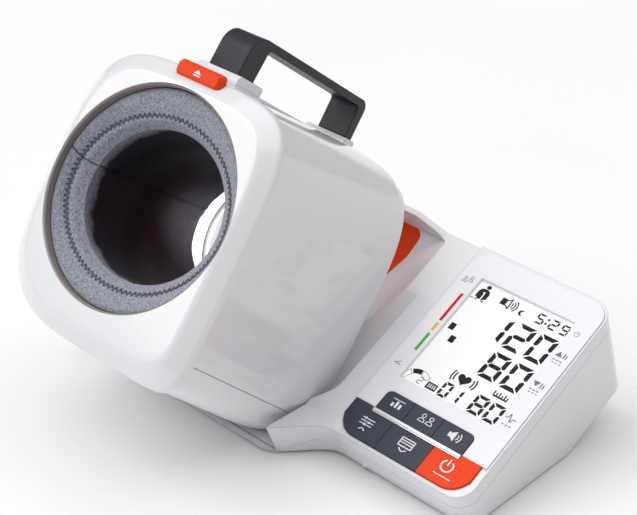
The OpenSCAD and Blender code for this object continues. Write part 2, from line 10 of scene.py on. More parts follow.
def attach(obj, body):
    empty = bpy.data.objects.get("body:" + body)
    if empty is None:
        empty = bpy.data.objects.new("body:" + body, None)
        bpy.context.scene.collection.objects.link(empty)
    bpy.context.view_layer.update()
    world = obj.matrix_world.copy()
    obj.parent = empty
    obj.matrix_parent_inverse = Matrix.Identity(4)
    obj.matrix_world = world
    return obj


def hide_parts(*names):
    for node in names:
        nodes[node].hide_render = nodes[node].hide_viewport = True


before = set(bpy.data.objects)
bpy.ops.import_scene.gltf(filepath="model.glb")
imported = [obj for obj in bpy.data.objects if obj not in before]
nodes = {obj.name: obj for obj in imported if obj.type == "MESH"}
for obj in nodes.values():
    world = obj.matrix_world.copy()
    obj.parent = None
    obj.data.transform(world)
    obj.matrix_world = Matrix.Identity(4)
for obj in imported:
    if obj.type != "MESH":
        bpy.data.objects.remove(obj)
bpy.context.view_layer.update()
MM = 0.001

# ---------------------------------------------------------------- frames of the panel and of the drum

# lengths are in millimetres here and metres in the scene
PANEL_TILT = math.radians(27.3)
PANEL_AT = Vector((77.3, 15.0, 58.0))
PANEL_U = Vector((1, 0, 0))
PANEL_V = Vector((0, math.cos(PANEL_TILT), math.sin(PANEL_TILT)))
PANEL_N = Vector((0, -math.sin(PANEL_TILT), math.cos(PANEL_TILT)))
DRUM_TILT = math.radians(33.8)
DRUM_AT = Vector((-67.1, -110.7, 187.9))
DRUM_A = Vector((0, math.cos(DRUM_TILT), -math.sin(DRUM_TILT)))
DRUM_B = Vector((0, math.sin(DRUM_TILT), math.cos(DRUM_TILT)))


def on_panel(u, v, w):
    return (PANEL_AT + PANEL_U * u + PANEL_V * v + PANEL_N * w) * MM


def on_drum(x, a, b):
    return (DRUM_AT + Vector((x, 0, 0)) + DRUM_A * a + DRUM_B * b) * MM


# ---------------------------------------------------------------- mesh helpers

CREASE = math.radians(35)  # sharper edges than this are shaded as edges
WELD = 1e-7


def in_scene(name, data):
    obj = bpy.data.objects.new(name, data)
    bpy.context.scene.collection.objects.link(obj)
    return obj


def new_object(name, verts, faces, smooth=True):
    mesh = bpy.data.meshes.new(name)
    mesh.from_pydata([tuple(v) for v in verts], [], faces)
    mesh.validate()
    obj = in_scene(name, mesh)
    tidy_mesh(obj, smooth)
    return obj


def object_from(name, bm):
    mesh = bpy.data.meshes.new(name)
    bm.to_mesh(mesh)
    bm.free()
    return in_scene(name, mesh)


def tidy_mesh(obj, smooth=True):
    bm = bmesh.new()
    bm.from_mesh(obj.data)
    bmesh.ops.remove_doubles(bm, verts=bm.verts, dist=WELD)
    bmesh.ops.recalc_face_normals(bm, faces=bm.faces)
    for e in bm.edges:
        e.smooth = not (len(e.link_faces) == 2 and e.calc_face_angle(0) > CREASE)
    for f in bm.faces:
        f.smooth = smooth
    bm.to_mesh(obj.data)
    bm.free()


def apply_modifiers(obj):
    graph = bpy.context.evaluated_depsgraph_get()
    mesh = bpy.data.meshes.new_from_object(obj.evaluated_get(graph))
    obj.modifiers.clear()
    old = obj.data
    obj.data = mesh
    bpy.data.meshes.remove(old)


def finish_piece(obj, body, slot, material, *replaced):
    obj.data.materials.clear()
    obj.data.materials.append(material)
    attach(obj, body)
    if replaced:
        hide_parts(*replaced)
    return obj


def grid_faces(rows, cols):
    """Faces of a sleeve of rows, each a closed loop of cols points."""
    faces = []
    for r in range(rows - 1):
        for c in range(cols):
            d = (c + 1) % cols
            faces.append((r * cols + c, r * cols + d, (r + 1) * cols + d, (r + 1) * cols + c))
    return faces


def ring_faces(turns, n, first=0):
    """Faces of a closed ring of sections, each a closed loop of n points."""
    faces = []
    for i in range(turns):
        k = (i + 1) % turns
        for j in range(n):
            m = (j + 1) % n
            faces.append((first + i * n + j, first + i * n + m, first + k * n + m, first + k * n + j))
    return faces


def prisms(name, loops):
    """Closed prisms, each given as its lower and its upper loop of points."""
    bm = bmesh.new()
    for low, high in loops:
        low, high = ([bm.verts.new(p) for p in loop] for loop in (low, high))
        n = len(low)
        bm.faces.new(high)
        bm.faces.new(low[::-1])
        for i in range(n):
            bm.faces.new((low[i], low[(i + 1) % n], high[(i + 1) % n], high[i]))
    bmesh.ops.recalc_face_normals(bm, faces=bm.faces)
    return object_from(name, bm)


# ---------------------------------------------------------------- materials

def node(tree, kind, **values):
    n = tree.nodes.new(kind)
    for key, value in values.items():
        if key in n.inputs.keys():
            n.inputs[key].default_value = value
        else:
            setattr(n, key, value)
    return n


def start(name):
    mat = bpy.data.materials.new(name)
    mat.use_nodes = True
    tree = mat.node_tree
    tree.nodes.clear()
    out = tree.nodes.new("ShaderNodeOutputMaterial")
    shader = tree.nodes.new("ShaderNodeBsdfPrincipled")
    tree.links.new(shader.outputs[0], out.inputs[0])
    place = tree.nodes.new("ShaderNodeTexCoord")
    return mat, tree, shader, place.outputs["Object"]


def two_tone(tree, place, a, b, scale, detail=4.0, low=0.35, high=0.65):
    """Noise that mixes two colours, as a colour socket."""
    n = node(tree, "ShaderNodeTexNoise", Scale=scale, Detail=detail)
    tree.links.new(place, n.inputs["Vector"])
    ramp = node(tree, "ShaderNodeValToRGB")
    ramp.color_ramp.elements[0].position = low
    ramp.color_ramp.elements[0].color = (*a, 1)
    ramp.color_ramp.elements[1].position = high
    ramp.color_ramp.elements[1].color = (*b, 1)
    tree.links.new(n.outputs["Fac"], ramp.inputs["Fac"])
    return ramp.outputs["Color"]


def spread(tree, place, scale, low, high, detail=3.0):
    """Noise mapped to a range, as a value socket."""
    n = node(tree, "ShaderNodeTexNoise", Scale=scale, Detail=detail)
    tree.links.new(place, n.inputs["Vector"])
    m = tree.nodes.new("ShaderNodeMapRange")
    m.inputs["From Min"].default_value = 0.3
    m.inputs["From Max"].default_value = 0.7
    m.inputs["To Min"].default_value = low
    m.inputs["To Max"].default_value = high
    tree.links.new(n.outputs["Fac"], m.inputs["Value"])
    return m.outputs["Result"]


def plastic(name, colour, rough, grain=0.05, grain_scale=900, coat=0.0, edge=0.0, shade=0.94,
            specular=0.5, metallic=0.0):
    """Moulded plastic or metal: faint colour and gloss variation, fine grain and softened edges."""
    mat, tree, shader, place = start(name)
    darker = tuple(c * shade for c in colour)
    tree.links.new(two_tone(tree, place, darker, colour, 9.0, 3.0), shader.inputs["Base Color"])
    tree.links.new(spread(tree, place, 55.0, rough * 0.85, rough * 1.15), shader.inputs["Roughness"])
    shader.inputs["Coat Weight"].default_value = coat
    shader.inputs["Coat Roughness"].default_value = 0.06
    shader.inputs["Specular IOR Level"].default_value = specular
    shader.inputs["Metallic"].default_value = metallic
    height = node(tree, "ShaderNodeTexNoise", Scale=grain_scale, Detail=2.0)
    tree.links.new(place, height.inputs["Vector"])
    bump = node(tree, "ShaderNodeBump", Strength=grain, Distance=0.0003)
    tree.links.new(height.outputs["Fac"], bump.inputs["Height"])
    if edge:
        bevel = node(tree, "ShaderNodeBevel", samples=4, Radius=edge)
        tree.links.new(bevel.outputs[0], bump.inputs["Normal"])
    tree.links.new(bump.outputs[0], shader.inputs["Normal"])
    return mat


YARN_DARK = (0.190, 0.195, 0.235)
YARN_LIGHT = (0.400, 0.410, 0.475)


def knit_colour(tree, place):
    """Two mixed yarn colours of the grey knit, as a colour socket."""
    return two_tone(tree, place, YARN_DARK, YARN_LIGHT, 800.0, 6.0, 0.37, 0.63)


def knit_cloth(name):
    """Grey knit: two mixed yarn colours, a fine weave and a soft sheen."""
    mat, tree, shader, place = start(name)
    tree.links.new(knit_colour(tree, place), shader.inputs["Base Color"])
    shader.inputs["Roughness"].default_value = 0.9
    shader.inputs["Sheen Weight"].default_value = 0.4
    shader.inputs["Sheen Roughness"].default_value = 0.5
    shader.inputs["Specular IOR Level"].default_value = 0.2
    knit = node(tree, "ShaderNodeTexVoronoi", Scale=1300.0)
    tree.links.new(place, knit.inputs["Vector"])
    fine = node(tree, "ShaderNodeTexNoise", Scale=1760.0, Detail=4.0)
    tree.links.new(place, fine.inputs["Vector"])
    first = node(tree, "ShaderNodeBump", Strength=0.5, Distance=0.0004)
    tree.links.new(knit.outputs["Distance"], first.inputs["Height"])
    second = node(tree, "ShaderNodeBump", Strength=0.5, Distance=0.0007)
    tree.links.new(fine.outputs["Fac"], second.inputs["Height"])
    tree.links.new(first.outputs[0], second.inputs["Normal"])
    tree.links.new(second.outputs[0], shader.inputs["Normal"])
    return mat


WHITE = plastic("white_shell", (0.80, 0.80, 0.825), 0.22, grain=0.02, coat=0.35, edge=0.0016, shade=0.985)
DRUM_WHITE = plastic("drum_white", (0.80, 0.80, 0.825), 0.16, grain=0.015, coat=0.5, shade=0.985)
FACE_WHITE = plastic("face_white", (0.84, 0.84, 0.87), 0.2, grain=0.015, coat=0.35, edge=0.0008, shade=0.99)
SLATE = plastic("slate_key", (0.040, 0.046, 0.066), 0.38, grain=0.05, edge=0.0006, shade=0.9, specular=0.3)
ORANGE = plastic("orange_trim", (0.84, 0.054, 0.004), 0.40, grain=0.04, edge=0.0006, shade=0.95, specular=0.2)
CHARCOAL = plastic("charcoal_handle", (0.013, 0.015, 0.021), 0.42, grain=0.25, grain_scale=1500, edge=0.0018,
                   shade=0.88, specular=0.35)
LEDGE = plastic("silver_ledge", (0.82, 0.82, 0.84), 0.18, grain=0.02, edge=0.0005, metallic=0.6)
STEEL = plastic("steel_parts", (0.56, 0.56, 0.58), 0.32, grain=0.1, metallic=1.0, edge=0.0003)
RUBBER = plastic("rubber_parts", (0.030, 0.030, 0.032), 0.75, grain=0.4, grain_scale=1400)
BLACK = plastic("black_parts", (0.030, 0.030, 0.032), 0.5, grain=0.2, edge=0.0004)
BOARD = plastic("board_green", (0.02, 0.12, 0.05), 0.4, grain=0.1)
INNER = plastic("inner_parts", (0.60, 0.60, 0.62), 0.6, grain=0.2)
# painted shade: the retainer in the ring's recess gets a dark brownish grey that stands for the shade on the recess
# wall
RECESS_SHADE = plastic("recess_trim", (0.27, 0.235, 0.22), 0.5, grain=0.2)
KEY_MAT = plastic("key_mat_rubber", (0.30, 0.30, 0.32), 0.7, grain=0.2)
SLEEVE = plastic("cell_sleeve", (0.06, 0.07, 0.09), 0.3, grain=0.03)
LCD = plastic("lcd_face", (0.97, 0.975, 0.975), 0.5, grain=0.02, shade=0.985)
for shader in LCD.node_tree.nodes:
    # painted light: a faint emission keeps the display pale in the shade behind its window, though the display gives
    # no light of its own
    if shader.type == "BSDF_PRINCIPLED":
        shader.inputs["Emission Color"].default_value = (1, 1, 1, 1)
        shader.inputs["Emission Strength"].default_value = 0.13
RING_CLOTH = knit_cloth("ring_cloth")
INK = plastic("lcd_ink", (0.006, 0.005, 0.005), 0.7, grain=0.02, specular=0.05)
WHITE_INK = plastic("white_print", (0.86, 0.86, 0.88), 0.5, grain=0.02)
GREY_INK = plastic("grey_print", (0.20, 0.20, 0.22), 0.6, grain=0.02, specular=0.1)
RED_INK = plastic("red_print", (0.80, 0.012, 0.012), 0.6, grain=0.02, specular=0.1)
YELLOW_INK = plastic("yellow_print", (0.85, 0.50, 0.02), 0.45, grain=0.02)
GREEN_INK = plastic("green_print", (0.07, 0.40, 0.05), 0.45, grain=0.02)
THREAD = plastic("dark_thread", (0.020, 0.020, 0.026), 0.8, grain=0.3)


def window_material():
    mat, tree, shader, place = start("lcd_window_clear")
    tint = two_tone(tree, place, (0.34, 0.35, 0.36), (0.40, 0.41, 0.42), 12.0)
    tree.links.new(tint, shader.inputs["Base Color"])
    shader.inputs["Roughness"].default_value = 0.05
    shader.inputs["Alpha"].default_value = 0.03
    return mat


WINDOW = window_material()

CAD_LOOK = {
    "base_lower_shell": WHITE, "base_upper_shell": WHITE, "battery_door": WHITE, "face_plate": FACE_WHITE,
    "handle_base": WHITE, "rear_cover": WHITE, "elbow_mark": ORANGE, "key_ledge": LEDGE, "lcd_window": WINDOW,
    "lcd_module": LCD, "main_board": BOARD, "key_mat": KEY_MAT, "pressure_sensor": INNER, "speaker": BLACK,
    "pump_motor": STEEL, "pump_head": BLACK, "bleed_valve": STEEL, "air_hose": RUBBER, "hinge_pins": STEEL,
    "latch_keeper": STEEL, "set_key": SLATE, "memory_key": SLATE, "average_key": SLATE, "user_key": SLATE,
    "voice_key": SLATE, "power_key": ORANGE, "open_button": ORANGE, "pad_retainer": RECESS_SHADE, "cuff_barrel": DRUM_WHITE,
    "cuff_bladder": RUBBER, "carry_handle": CHARCOAL, "handle_screws": STEEL, "push_rod": STEEL,
    "button_springs": STEEL, "latch_hook": STEEL, "latch_pin": STEEL, "drum_hose": RUBBER, "rubber_feet": RUBBER,
    "case_screws": STEEL, "battery_cells": SLEEVE, "battery_springs": STEEL, "dc_inlet": BLACK,
}
for name, look in CAD_LOOK.items():
    for s in nodes[name].material_slots:
        s.material = look

# ---------------------------------------------------------------- drum shells

# half width, lowest and highest b, and the corner powers above, at the lower left and at the lower right
FRONT_SIZE = (92.5, -109.0, 94.0, 4.2, 3.1, 9.0)
REAR_SIZE = (98.0, -130.0, 101.0, 3.8, 3.1, 4.0)
DRUM_LEN = 177.0
RING_R = 80.0
REAR_HOLE_R = 66.0
REAR_EDGE_R = 3.0
BLEND_R = 5.0
WALL = 2.2
SEAM_GAP = 0.0002
JUST_INSIDE = 0.02
HEEL_R = 47.0
CROWN_R = 26.0
SLOPE = math.atan((FRONT_SIZE[1] - REAR_SIZE[1]) / DRUM_LEN)
HEEL_A = DRUM_LEN - HEEL_R
HEEL_B = HEEL_R / math.cos(SLOPE) + FRONT_SIZE[1] - math.tan(SLOPE) * HEEL_A
CROWN_A = DRUM_LEN - CROWN_R
CROWN_B = REAR_SIZE[2] - CROWN_R
QUARTER = 64


def size_at(a):
    return tuple(f + (r - f) * a / DRUM_LEN for f, r in zip(FRONT_SIZE, REAR_SIZE))


def quarter_points(half_w, half_h, power):
    """One quarter of the rounded outline, from +x to +y, with its points evenly spaced along its length."""
    t = np.linspace(0, math.pi / 2, 1500)
    t = t - 0.5 * np.sin(4 * t) * 0.12
    e = 2 / power
    x = half_w * np.cos(t).clip(0, 1) ** e
    y = half_h * np.sin(t).clip(0, 1) ** e
    length = np.concatenate([[0], np.cumsum(np.hypot(np.diff(x), np.diff(y)))])
    want = np.linspace(0, length[-1], QUARTER + 1)
    return np.interp(want, length, x), np.interp(want, length, y)


def outline(a, inset):
    """Drum outline (x, b) at distance a behind the cuff ring, as 4 * QUARTER points from +x anticlockwise."""
    half_w, low, high, top, low_left, low_right = size_at(a)
    half_w -= inset
    mid, half_h = (low + high) / 2, (high - low) / 2 - inset
    xt, yt = quarter_points(half_w, half_h, top)
    xl, yl = quarter_points(half_w, half_h, low_left)
    xr, yr = quarter_points(half_w, half_h, low_right)
    points = [(x, mid + y) for x, y in zip(xt, yt)][:-1]
    points += [(-x, mid + y) for x, y in zip(xt[::-1], yt[::-1])][:-1]
    points += [(-x, mid - y) for x, y in zip(xl, yl)][:-1]
    points += [(x, mid - y) for x, y in zip(xr[::-1], yr[::-1])][:-1]
    return points


def soft_max(p, q):
    """Larger of two numbers, with a rounded change from one to the other."""
    if abs(p - q) >= BLEND_R:
        return max(p, q)
    h = (BLEND_R - abs(p - q)) / BLEND_R
    return max(p, q) + h * h * BLEND_R * 0.25


def lowest_at(a):
    if a <= HEEL_A - HEEL_R * math.sin(SLOPE):
        return FRONT_SIZE[1] - math.tan(SLOPE) * a
    d = min(a - HEEL_A, HEEL_R)
    return HEEL_B - math.sqrt(max(HEEL_R * HEEL_R - d * d, 0))


def highest_at(a):
    if a <= CROWN_A:
        return math.inf
    d = min(a - CROWN_A, CROWN_R)
    return CROWN_B + math.sqrt(max(CROWN_R * CROWN_R - d * d, 0))


def drum_row(a, inset):
    row = []
    for x, b in outline(a, inset):
        b = soft_max(b, lowest_at(a) + inset)
        b = -soft_max(-b, -(highest_at(a) - inset))
        row.append(on_drum(x, a, b))
    return row


def drum_skin():
    """Outside of the drum behind its front frame, with the rounded rear and the round hole in it."""
    stops = [(a, 0.0) for a in np.linspace(9.3, 126, 22)]
    stops += [(a, 0.0) for a in np.linspace(130, 168, 20)]
    stops += [(DRUM_LEN - REAR_EDGE_R + REAR_EDGE_R * math.sin(t), REAR_EDGE_R * (1 - math.cos(t)))
              for t in np.linspace(0, math.pi / 2, 9)]
    verts = []
    for a, inset in stops:
        verts += drum_row(min(a, DRUM_LEN - JUST_INSIDE), inset)
    last = drum_row(DRUM_LEN - JUST_INSIDE, REAR_EDGE_R)
    centre = on_drum(0, DRUM_LEN, 0)
    inward = (0.66, 0.33, 0.0)
    for f in inward:
        for p in last:
            away = p - centre
            x, b = away.x / MM, away.dot(DRUM_B) / MM
            k = REAR_HOLE_R / math.hypot(x, b)
            hole = on_drum(x * k, DRUM_LEN, b * k)
            verts.append(hole + (p - hole) * f)
    return new_object("drum_skin", verts, grid_faces(len(stops) + len(inward), 4 * QUARTER))


def split_skin(obj, name, point, normal):
    """The part of obj behind a plane that faces along normal, as a new object with wall thickness."""
    part = obj.copy()
    part.data = obj.data.copy()
    part.name = name
    bpy.context.scene.collection.objects.link(part)
    bm = bmesh.new()
    bm.from_mesh(part.data)
    everything = list(bm.verts) + list(bm.edges) + list(bm.faces)
    bmesh.ops.bisect_plane(bm, geom=everything, dist=WELD, plane_co=point, plane_no=normal, clear_outer=True)
    bm.to_mesh(part.data)
    bm.free()
    wall = part.modifiers.new("wall", "SOLIDIFY")
    wall.thickness = WALL * MM
    wall.offset = -1
    return part


skin = drum_skin()
seam_at = on_drum(0, -20, -80)
seam_dir = on_drum(0, 200, -103) - seam_at
seam_up = Vector((1, 0, 0)).cross(seam_dir).normalized()
upper_skin = split_skin(skin, "drum_shell_skin", seam_at + seam_up * SEAM_GAP, -seam_up)
lower_skin = split_skin(skin, "drum_cradle_skin", seam_at - seam_up * SEAM_GAP, seam_up)
bpy.data.objects.remove(skin)


def slot_cutter(name, x, points):
    """Prism across the drum from its side outline (a, b)."""
    n = len(points)
    verts = [on_drum(-x, a, b) for a, b in points] + [on_drum(x, a, b) for a, b in points]
    faces = [tuple(range(n)), tuple(range(2 * n - 1, n - 1, -1))]
    faces += [(i, n + i, n + (i + 1) % n, (i + 1) % n) for i in range(n)]
    return new_object(name, verts, faces, smooth=False)


# the latch hook swings in this slot
window = slot_cutter("window_cutter", 6, [(156, 79), (185, 79), (185, 110), (164, 110), (156, 90)])
cut = upper_skin.modifiers.new("window", "BOOLEAN")
cut.object = window
cut.operation = "DIFFERENCE"
for part in (upper_skin, lower_skin):
    apply_modifiers(part)
    tidy_mesh(part)
bpy.data.objects.remove(window)
finish_piece(upper_skin, "drum", "white_shell", DRUM_WHITE, "drum_shell")
finish_piece(lower_skin, "drum", "white_shell", WHITE, "drum_cradle")


def hinge_hubs():
    """Round hubs of the cradle that turn on the hinge pins."""
    centre = Vector((-67.1, -36.2, 17.0))
    section = [(60.0, 9.0), (93.2, 9.0), (94.0, 8.7), (94.4, 8.0), (94.4, 4.1), (60.0, 4.1)]
    turns = 64
    verts, faces = [], []
    for side in (-1, 1):
        faces += ring_faces(turns, len(section), len(verts))
        for i in range(turns):
            t = 2 * math.pi * i / turns
            verts += [(centre + Vector((side * x, r * math.cos(t), r * math.sin(t)))) * MM for x, r in section]
    return new_object("cradle_hubs", verts, faces)


finish_piece(hinge_hubs(), "drum", "white_shell", WHITE)


def frame_profile():
    """Front frame from its recess to its rear edge as (a, inset), with the two corners rounded."""
    path = [(-7.0, 16.0), (-7.0, 11.0), (3.0, -1.2), (9.0, -1.2)]
    rounded = [path[0]]
    for i, r in ((1, 3.4), (2, 3.2)):
        p, c, q = (np.array(path[j], float) for j in (i - 1, i, i + 1))
        d1, d2 = (p - c) / np.linalg.norm(p - c), (q - c) / np.linalg.norm(q - c)
        for t in np.linspace(0, 1, 9):
            rounded.append(tuple(c + d1 * r * (1 - t) ** 2 + d2 * r * t ** 2))
    rounded += [(8.5, -1.2), (9.0, -0.7), (9.0, 2.0)]
    return rounded


def drum_frame_piece():
    """Rounded front frame, clipped by the round hole that the cuff ring sits in."""
    hole = RING_R + 1.7
    hole_depth = 6.0
    profile = frame_profile()
    rings = [outline(max(a, 0), inset) for a, inset in profile]
    columns = []
    for c in range(4 * QUARTER):
        x, b = rings[0][c]
        k = min(hole / math.hypot(x, b), 1.0)
        path = [(x * (k + (1 - k) * f), b * (k + (1 - k) * f), profile[0][0]) for f in (0.0, 0.25, 0.5, 0.75)]
        path += [(*ring[c], a) for ring, (a, inset) in zip(rings, profile)]
        m = next(i for i, p in enumerate(path) if math.hypot(p[0], p[1]) >= hole - 1e-6)
        if m:
            inner, outer = np.array(path[m - 1]), np.array(path[m])
            r0, r1 = math.hypot(*inner[:2]), math.hypot(*outer[:2])
            cross = inner + (outer - inner) * (hole - r0) / (r1 - r0)
            path = [tuple(cross)] * m + path[m:]
        x, b, a = path[0]
        wall = [(x, b, hole_depth), (x, b, min(a + 0.9, hole_depth)), (x * 1.0012, b * 1.0012, a + 0.3)]
        columns.append([on_drum(x, a, b) for x, b, a in wall + path])
    rows = len(columns[0])
    verts = [column[r] for r in range(rows) for column in columns]
    return new_object("drum_frame_skin", verts, grid_faces(rows, 4 * QUARTER))


finish_piece(drum_frame_piece(), "drum", "white_shell", DRUM_WHITE, "drum_frame")

# ---------------------------------------------------------------- cuff ring and liner


def lathe(name, section, turns):
    """Closed ring about the tunnel axis. section(t) gives its section at angle t as (x, a, b) points."""
    rows = [section(2 * math.pi * i / turns) for i in range(turns)]
    verts = [on_drum(*p) for row in rows for p in row]
    return new_object(name, verts, ring_faces(turns, len(rows[0])))


SEAM_T = math.radians(172)   # angle of the sewn seam about the tunnel's axis
OVAL_B = -1.5                # height of the tunnel's centre
OVAL_EXTRA = 6.5             # half width less half height
LIP_R = 54.6                 # half height at the ring's inner lip
LIP_A = 13.0                 # depth of that lip
LINER_A = 13.2               # depth at which the liner starts
LINER_R = 55.3
LINER_THICK = 1.6
STITCH = 0.55                # share of the ring's front that lies outside the stitched line
STITCH_A = 6.0               # depth of that line
STITCH_SIZE = (71.8, 62.0)   # its half width and half height
STITCH_B = -1.8              # height of its centre
EDGE_A = -0.6                # depth of the ring's outer edge


def around(t):
    """Angle from the seam, -180 to 180 degrees, in radians."""
    return (t - SEAM_T + math.pi) % (2 * math.pi) - math.pi


def oval(t, r):
    """Point of the arm tunnel's outline: r is half its height, and it is wider than it is high."""
    return (r + OVAL_EXTRA) * math.cos(t), OVAL_B + r * math.sin(t)


def stitch_line(t):
    return STITCH_SIZE[0] * math.cos(t), STITCH_B + STITCH_SIZE[1] * math.sin(t)


def ring_front(t, f, lift=0.0):
    """Front of the ring at angle t, from its outer edge (f = 0) over the stitched line to its lip (f = 1)."""
    xs, bs = stitch_line(t)
    if f < STITCH:
        k = f / STITCH
        x0, b0 = RING_R * math.cos(t), RING_R * math.sin(t)
        x, b = x0 + (xs - x0) * k, b0 + (bs - b0) * k
        a = EDGE_A + (STITCH_A - EDGE_A) * k ** 1.3 - 1.2 * math.sin(math.pi * k)
    else:
        k = (f - STITCH) / (1 - STITCH)
        x1, b1 = oval(t, LIP_R)
        x, b = xs + (x1 - xs) * k, bs + (b1 - bs) * k
        a = STITCH_A + (LIP_A - STITCH_A) * k ** 1.7 - 0.9 * math.sin(math.pi * min(k * 1.3, 1.0))
    p = Vector((x * 0.05, b * 0.05, 0.3))
    a += noise.noise(p) * 0.4 + noise.noise(p * 3.1) * 0.15
    return x, a - lift, b


def near_stitches(t, offset):
    """Share f of the ring's front that lies offset mm outside the stitched line at angle t."""
    xs, bs = stitch_line(t)
    if offset > 0:
        width = math.hypot(RING_R * math.cos(t) - xs, RING_R * math.sin(t) - bs)
        return STITCH * (1 - offset / width)
    x1, b1 = oval(t, LIP_R)
    return STITCH + (1 - STITCH) * -offset / math.hypot(x1 - xs, b1 - bs)


def ring_section(t):
    """Section of the ring: rounded outer edge, dished front with a sewn line, lip, and the hidden back."""
    seam = 0.9 * math.exp(-(around(t) / 0.014) ** 2)
    points = []
    for r, a in ((79.6, 6.6), (80.0, 3.6), (79.95, 1.4)):
        points.append((r * math.cos(t), a, r * math.sin(t)))
    for f in (0.012, 0.03, 0.06, 0.10, 0.15, 0.21, 0.28, 0.35, 0.42, 0.48, 0.52, 0.54, STITCH, 0.56, 0.58, 0.62,
              0.67, 0.72, 0.77, 0.82, 0.87, 0.91, 0.94, 0.97, 1.0):
        sunk = 0.5 * math.exp(-((f - STITCH) / 0.014) ** 2)
        rounded = 0.9 * (1 - f / 0.06) if f < 0.06 else 0
        x, a, b = ring_front(t, f)
        points.append((x, a + sunk + seam * min(1.0, f * 8) + rounded, b))
    for r, a in ((LIP_R + 0.3, LIP_A + 1.6), (LIP_R + 2.0, LIP_A + 1.8), (61.0, 7.9), (61.0, 6.8)):
        x, b = oval(t, r)
        points.append((x, a, b))
    return points


ring = lathe("cuff_ring_cloth", ring_section, 360)
finish_piece(ring, "drum", "ring_cloth", RING_CLOTH, "cuff_ring_pad")


def liner_material():
    """Smooth dark cloth that starts with a fuzzy edge behind the grey knit."""
    mat, tree, shader, place = start("liner_cloth_faded")
    dark = two_tone(tree, place, (0.006, 0.006, 0.011), (0.013, 0.012, 0.021), 160.0)
    grey = knit_colour(tree, place)
    depth = node(tree, "ShaderNodeAttribute", attribute_name="depth")
    ragged = node(tree, "ShaderNodeTexNoise", Scale=95.0, Detail=8.0)
    tree.links.new(place, ragged.inputs["Vector"])
    add = node(tree, "ShaderNodeMath", operation="MULTIPLY_ADD")
    tree.links.new(ragged.outputs["Fac"], add.inputs[0])
    add.inputs[1].default_value = -0.40
    tree.links.new(depth.outputs["Fac"], add.inputs[2])
    ramp = node(tree, "ShaderNodeMapRange")
    ramp.inputs["From Min"].default_value = -0.09
    ramp.inputs["From Max"].default_value = 0.10
    tree.links.new(add.outputs[0], ramp.inputs["Value"])
    mix = node(tree, "ShaderNodeMix", data_type="RGBA")
    tree.links.new(ramp.outputs["Result"], mix.inputs["Factor"])
    tree.links.new(grey, mix.inputs[6])
    tree.links.new(dark, mix.inputs[7])
    tree.links.new(mix.outputs[2], shader.inputs["Base Color"])
    shader.inputs["Roughness"].default_value = 0.6
    shader.inputs["Sheen Weight"].default_value = 0.06
    shader.inputs["Specular IOR Level"].default_value = 0.3
    fine = node(tree, "ShaderNodeTexNoise", Scale=900.0, Detail=3.0)
    tree.links.new(place, fine.inputs["Vector"])
    bump = node(tree, "ShaderNodeBump", Strength=0.3, Distance=0.0004)
    tree.links.new(fine.outputs["Fac"], bump.inputs["Height"])
    tree.links.new(bump.outputs[0], shader.inputs["Normal"])
    return mat


def liner_end(t):
    """Depth of the liner's gathered rear edge, which reaches furthest at its seam."""
    at_seam = 2.4 * math.exp(-(around(t) / 0.10) ** 2)
    return 149.4 + at_seam + 1.0 * math.sin(5 * t + 1) - 0.7 * math.sin(11 * t)


def liner_radius(t, a):
    """Half height of the liner at angle t and depth a, with soft folds and a seam groove."""
    p = Vector((math.cos(t) * 1.3, math.sin(t) * 1.3, a * 0.018))
    billow = 1.0 * noise.noise(p) + 0.45 * noise.noise(p * 2.7) + 0.3 * math.sin(a * 0.16 + 3 * t)
    away = min(1.0, max(0.0, a - LIP_A) / 14) * min(1.0, max(0.0, 156 - a) / 10)
    return LINER_R + billow * away + 1.1 * math.exp(-(around(t) / 0.02) ** 2)


def in_tunnel(t, a, r):
    x, b = oval(t, r)
    return on_drum(x, a, b)


def liner_piece():
    """Liner cloth as a closed sleeve: inside, outside and the two edges."""
    turns, steps = 300, 60
    verts = []
    for i in range(turns):
        t = 2 * math.pi * i / turns
        for j in range(steps + 1):
            a = LINER_A + (liner_end(t) - LINER_A) * j / steps
            verts.append((liner_radius(t, a), a, t))
    inside = [in_tunnel(t, a, r) for r, a, t in verts]
    outside = [in_tunnel(t, a, r + LINER_THICK) for r, a, t in verts]
    n = steps + 1
    total = turns * n
    faces = []
    for i in range(turns):
        k = (i + 1) % turns
        for j in range(steps):
            q = (i * n + j, i * n + j + 1, k * n + j + 1, k * n + j)
            faces.append(q)
            faces.append(tuple(total + v for v in reversed(q)))
        faces.append((i * n, k * n, total + k * n, total + i * n))
        faces.append((k * n + steps, i * n + steps, total + i * n + steps, total + k * n + steps))
    obj = new_object("cuff_liner_cloth", inside + outside, faces)
    # the depth behind the ring drives the fuzzy edge of the knit
    attribute = obj.data.attributes.new("depth", "FLOAT", "POINT")
    values = [((v.co / MM - DRUM_AT).dot(DRUM_A) - LIP_A) / 40 for v in obj.data.vertices]
    attribute.data.foreach_set("value", values)
    return obj


liner = liner_piece()
finish_piece(liner, "drum", "liner_cloth", liner_material(), "cuff_liner")


def tube_between(bm, p, q, radius, sides=6):
    """Stitch from p to q, thinner at both ends."""
    axis = (q - p).normalized()
    side = axis.orthogonal().normalized()
    other = axis.cross(side)
    loops = []
    taper = (q - p) * 0.15
    for end, r in ((p, radius * 0.5), (p + taper, radius), (q - taper, radius), (q, radius * 0.5)):
        loops.append([bm.verts.new(end + (side * math.cos(s) + other * math.sin(s)) * r)
                      for s in np.linspace(0, 2 * math.pi, sides, endpoint=False)])
    for l1, l2 in zip(loops, loops[1:]):
        for i in range(sides):
            bm.faces.new((l1[i], l1[(i + 1) % sides], l2[(i + 1) % sides], l2[i]))
    bm.faces.new(loops[0][::-1])
    bm.faces.new(loops[-1])


def stitches(name, points, radius):
    bm = bmesh.new()
    for p, q in points:
        tube_between(bm, p, q, radius)
    obj = object_from(name, bm)
    tidy_mesh(obj)
    return finish_piece(obj, "drum", "liner_cloth", THREAD)


def thread_point(t, f, lift):
    return on_drum(*ring_front(t, f, lift))


